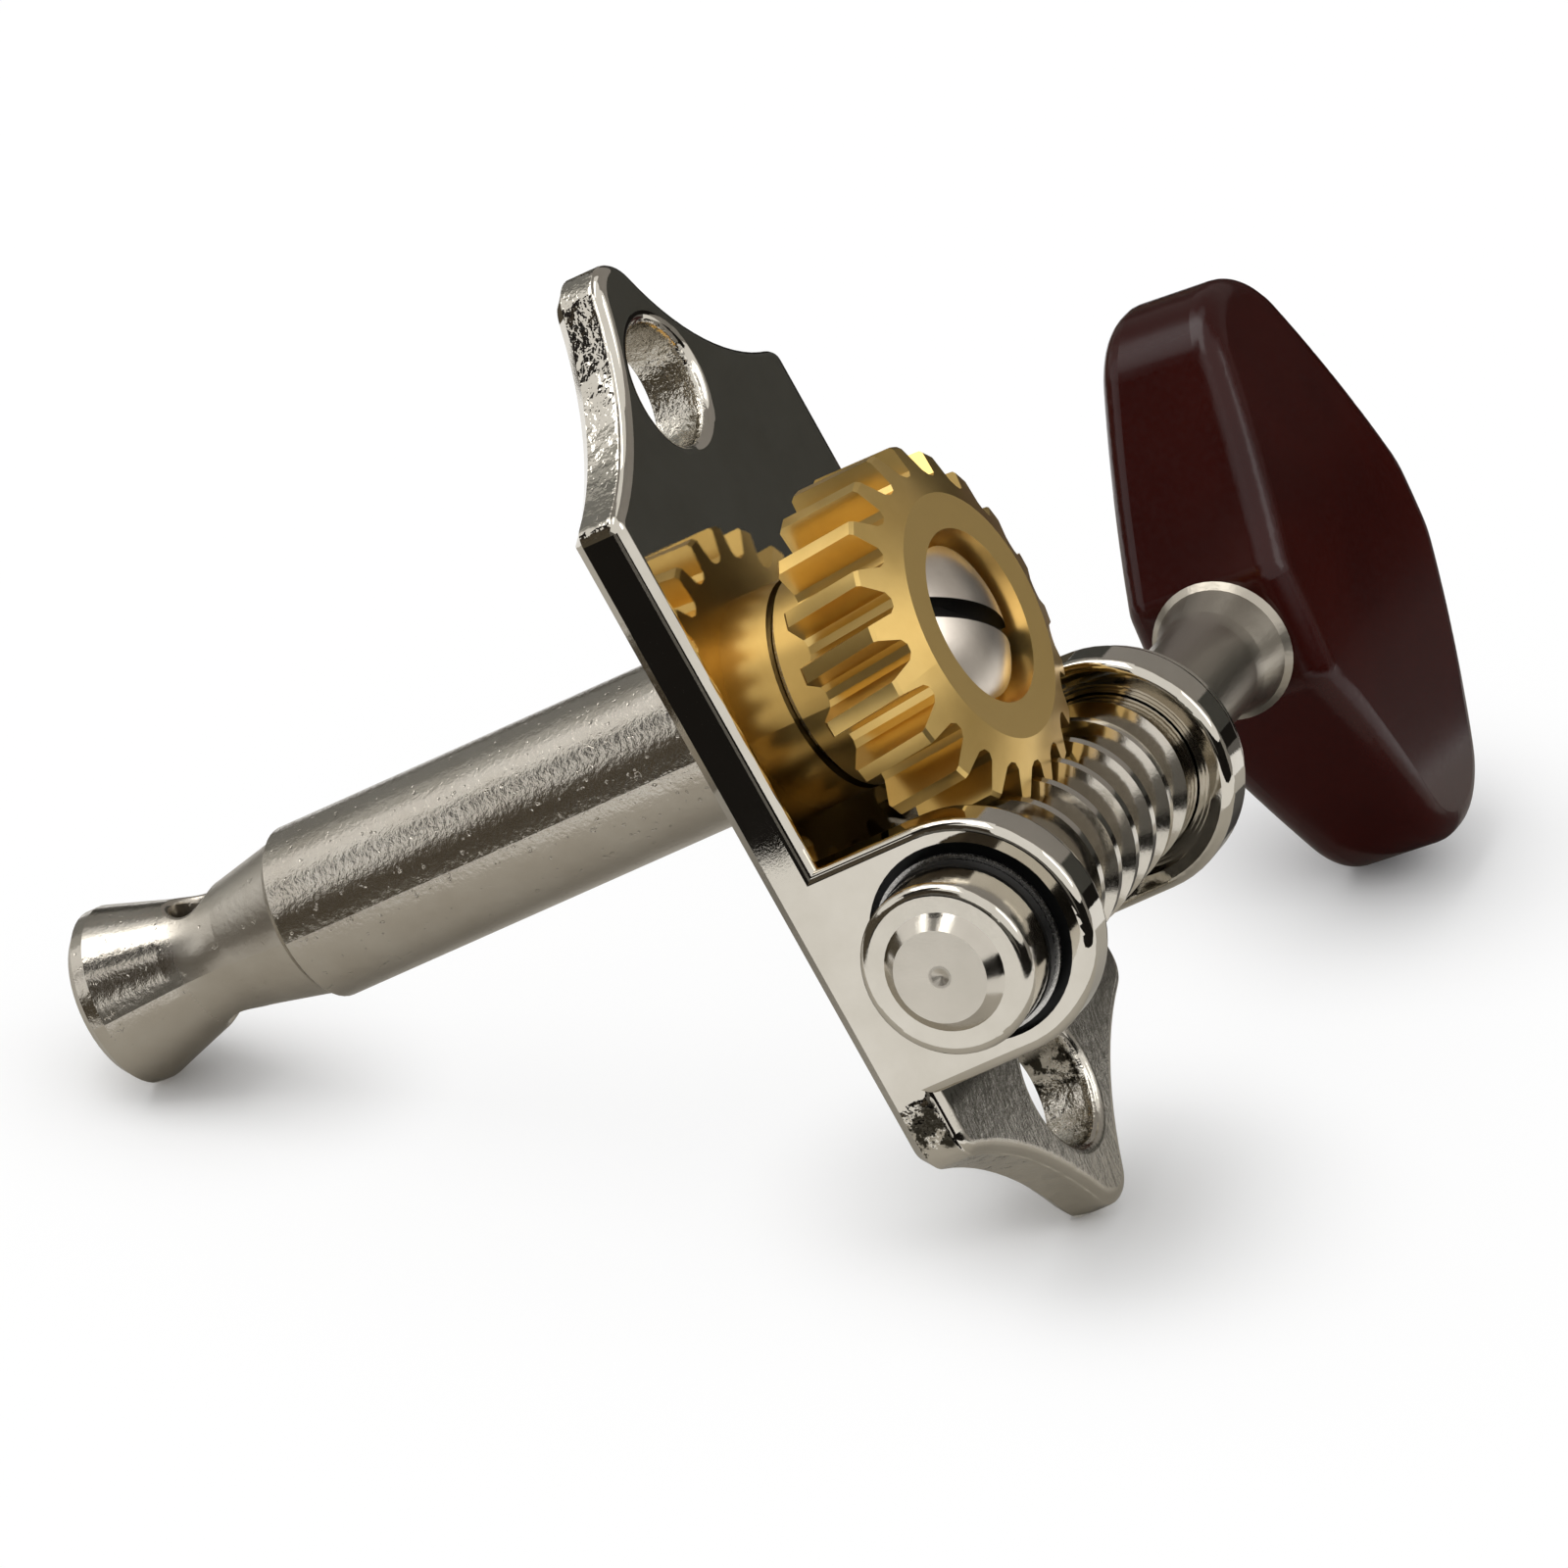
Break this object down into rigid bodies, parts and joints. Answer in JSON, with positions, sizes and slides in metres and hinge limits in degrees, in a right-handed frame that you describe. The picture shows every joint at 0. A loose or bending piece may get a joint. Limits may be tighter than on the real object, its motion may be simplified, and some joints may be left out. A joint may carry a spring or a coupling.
{
  "type": "guitar tuning machine",
  "caption": "Open-gear guitar tuning machine: a knob turns a worm held between the ears of a screw-on plate, and the worm turns a brass wheel and the string post.",
  "frame": {"origin": "on the string post's axis, in the face of the plate that lies on the headstock", "axes": "+Z out of the plate on the gear side, the string post hangs along -Z; +X from the knob towards the worm's end cap; +Y from the post towards the worm"},
  "size_m": [0.0418, 0.0352, 0.0369],
  "materials": {
    "plate_nickel": "polished nickel plate",
    "post_nickel": "satin nickel plate",
    "shaft_nickel": "satin nickel plate",
    "cap_nickel": "turned nickel plate",
    "bushing_nickel": "polished nickel plate",
    "washer_steel": "plain steel",
    "screw_steel": "polished nickel plate",
    "brass": "satin machined brass",
    "black_plastic": "black polymer",
    "knob_plastic": "glossy dark wine-red plastic"
  },
  "bodies": {
    "plate": {"base_plate": "plate_nickel", "gear_thrust_washer": "washer_steel", "front_bushing": "black_plastic", "tension_washer": "washer_steel", "rear_bushing": "bushing_nickel"},
    "post_gear": {"string_post": "post_nickel", "worm_wheel": "brass", "gear_screw_washer": "washer_steel", "gear_screw": "screw_steel"},
    "worm": {"worm_shaft": "shaft_nickel", "friction_washer": "black_plastic", "end_cap": "cap_nickel", "knob": "knob_plastic", "knob_washer": "washer_steel", "knob_screw": "screw_steel"}
  },
  "joints": [
    {"name": "post_spin", "type": "hinge", "parent": "plate", "child": "post_gear", "pos_m": [0, 0, 0], "axis": [0, 0, 1], "continuous": true},
    {"name": "worm_spin", "type": "hinge", "parent": "plate", "child": "worm", "pos_m": [0, 0.00805, 0.00574], "axis": [1, 0, 0], "continuous": true}
  ],
  "couplings": [
    {"joint": "post_spin", "follows": "worm_spin", "ratio": -0.05}
  ]
}
